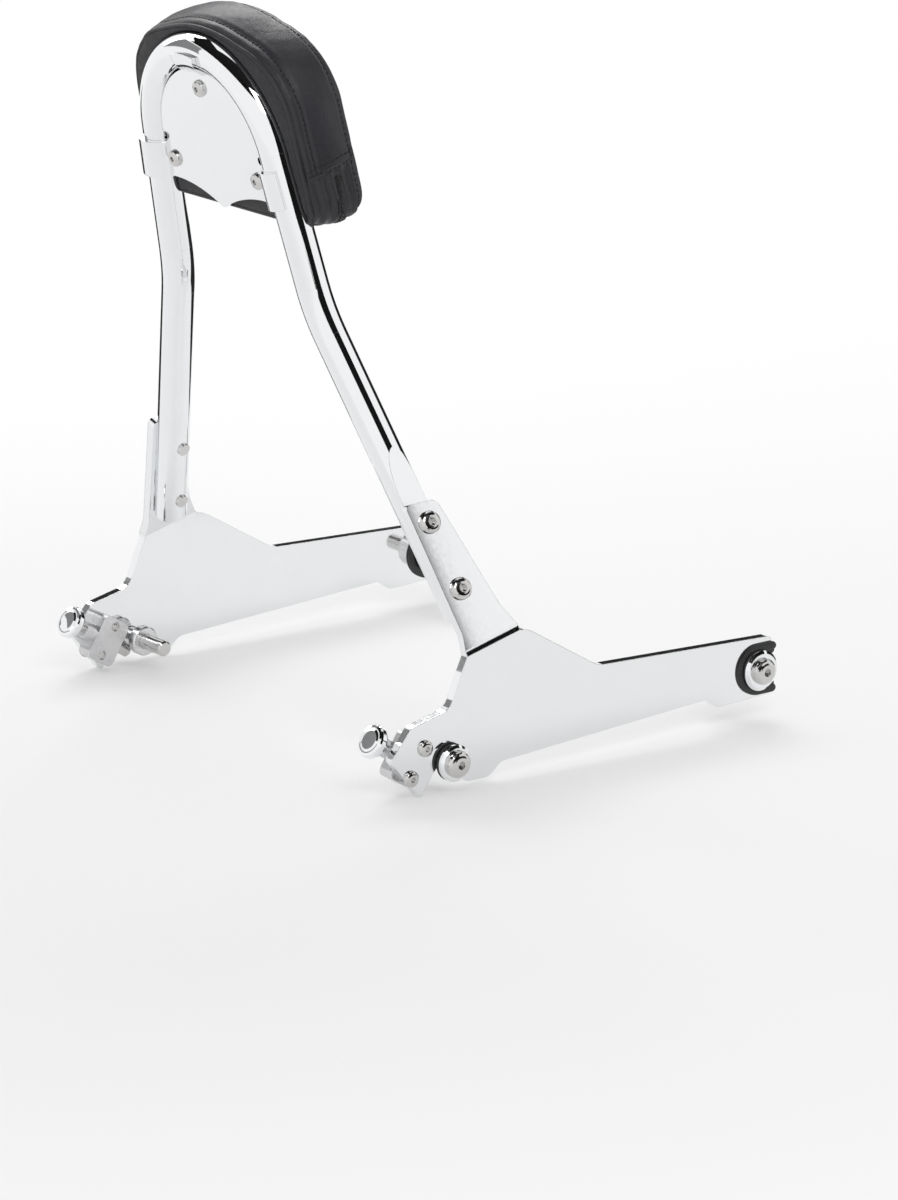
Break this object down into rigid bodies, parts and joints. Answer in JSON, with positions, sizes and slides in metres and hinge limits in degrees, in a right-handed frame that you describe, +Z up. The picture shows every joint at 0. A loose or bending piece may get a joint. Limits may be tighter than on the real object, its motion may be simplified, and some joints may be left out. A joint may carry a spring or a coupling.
{
  "type": "motorcycle backrest",
  "caption": "Quick-release passenger backrest: an arched round bar with a padded cushion on folded side plates that hook over docking spools and lock with spring plungers.",
  "frame": {"origin": "on the axis of the right rear docking bolt, at the face where its spool seats on the motorcycle's strut", "axes": "+X to the rider's right, +Y forwards along the motorcycle, +Z up; the object's middle plane is at x = -0.151 m"},
  "size_m": [0.373, 0.3241, 0.4532],
  "materials": {
    "chrome_bar": "polished chrome plating over round steel bar",
    "chrome_plate": "polished chrome plating over flat steel plate",
    "chrome_insert": "polished chrome plating over pressed steel sheet",
    "polished_screw": "polished steel, bright domed heads",
    "polished_washer": "chromed steel, bevelled edge",
    "turned_spool": "turned and clear-finished metal",
    "ring_rubber": "black rubber, matt",
    "liner_plastic": "black moulded plastic, matt",
    "pad_vinyl": "black grained vinyl over foam, satin",
    "panel_vinyl": "black grained vinyl over a flat panel, satin",
    "board_plastic": "black moulded plastic",
    "insert_brass": "turned brass",
    "housing_metal": "machined metal, clear finish",
    "plunger_steel": "ground steel",
    "spring_steel": "bright spring wire",
    "knob_chrome": "chromed metal, domed face"
  },
  "bodies": {
    "frame": {"sissy_bar": "chrome_bar", "side_plate_right": "chrome_plate", "side_plate_left": "chrome_plate", "plate_bolts_right": "polished_screw", "plate_bolts_left": "polished_screw", "insert_plate": "chrome_insert", "insert_screws": "polished_screw", "pad_cushion": "pad_vinyl", "pad_back_panel": "panel_vinyl", "pad_board": "board_plastic", "pad_inserts": "insert_brass", "latch_housing_right": "housing_metal", "latch_housing_left": "housing_metal", "latch_spring_right": "spring_steel", "latch_spring_left": "spring_steel", "latch_screws_right": "polished_screw", "latch_screws_left": "polished_screw", "dock_bolts_right": "polished_screw", "dock_bolts_left": "polished_screw", "dock_washers_right": "polished_washer", "dock_washers_left": "polished_washer", "dock_spools_right": "turned_spool", "dock_spools_left": "turned_spool", "dock_rings_right": "ring_rubber", "dock_rings_left": "ring_rubber", "slot_liner_right": "liner_plastic", "slot_liner_left": "liner_plastic"},
    "latch_right": {"latch_plunger_right": "plunger_steel", "latch_knob_right": "knob_chrome"},
    "latch_left": {"latch_plunger_left": "plunger_steel", "latch_knob_left": "knob_chrome"}
  },
  "joints": [
    {"name": "latch_right_slide", "type": "slide", "parent": "frame", "child": "latch_right", "axis": [0, -0.8462, 0.5329], "range_m": [0, 0.009], "stiffness_N_per_m": 600, "springref_m": -0.004, "deforming": ["latch_spring_right"]},
    {"name": "latch_left_slide", "type": "slide", "parent": "frame", "child": "latch_left", "axis": [0, -0.8462, 0.5329], "range_m": [0, 0.009], "stiffness_N_per_m": 600, "springref_m": -0.004, "deforming": ["latch_spring_left"]}
  ]
}
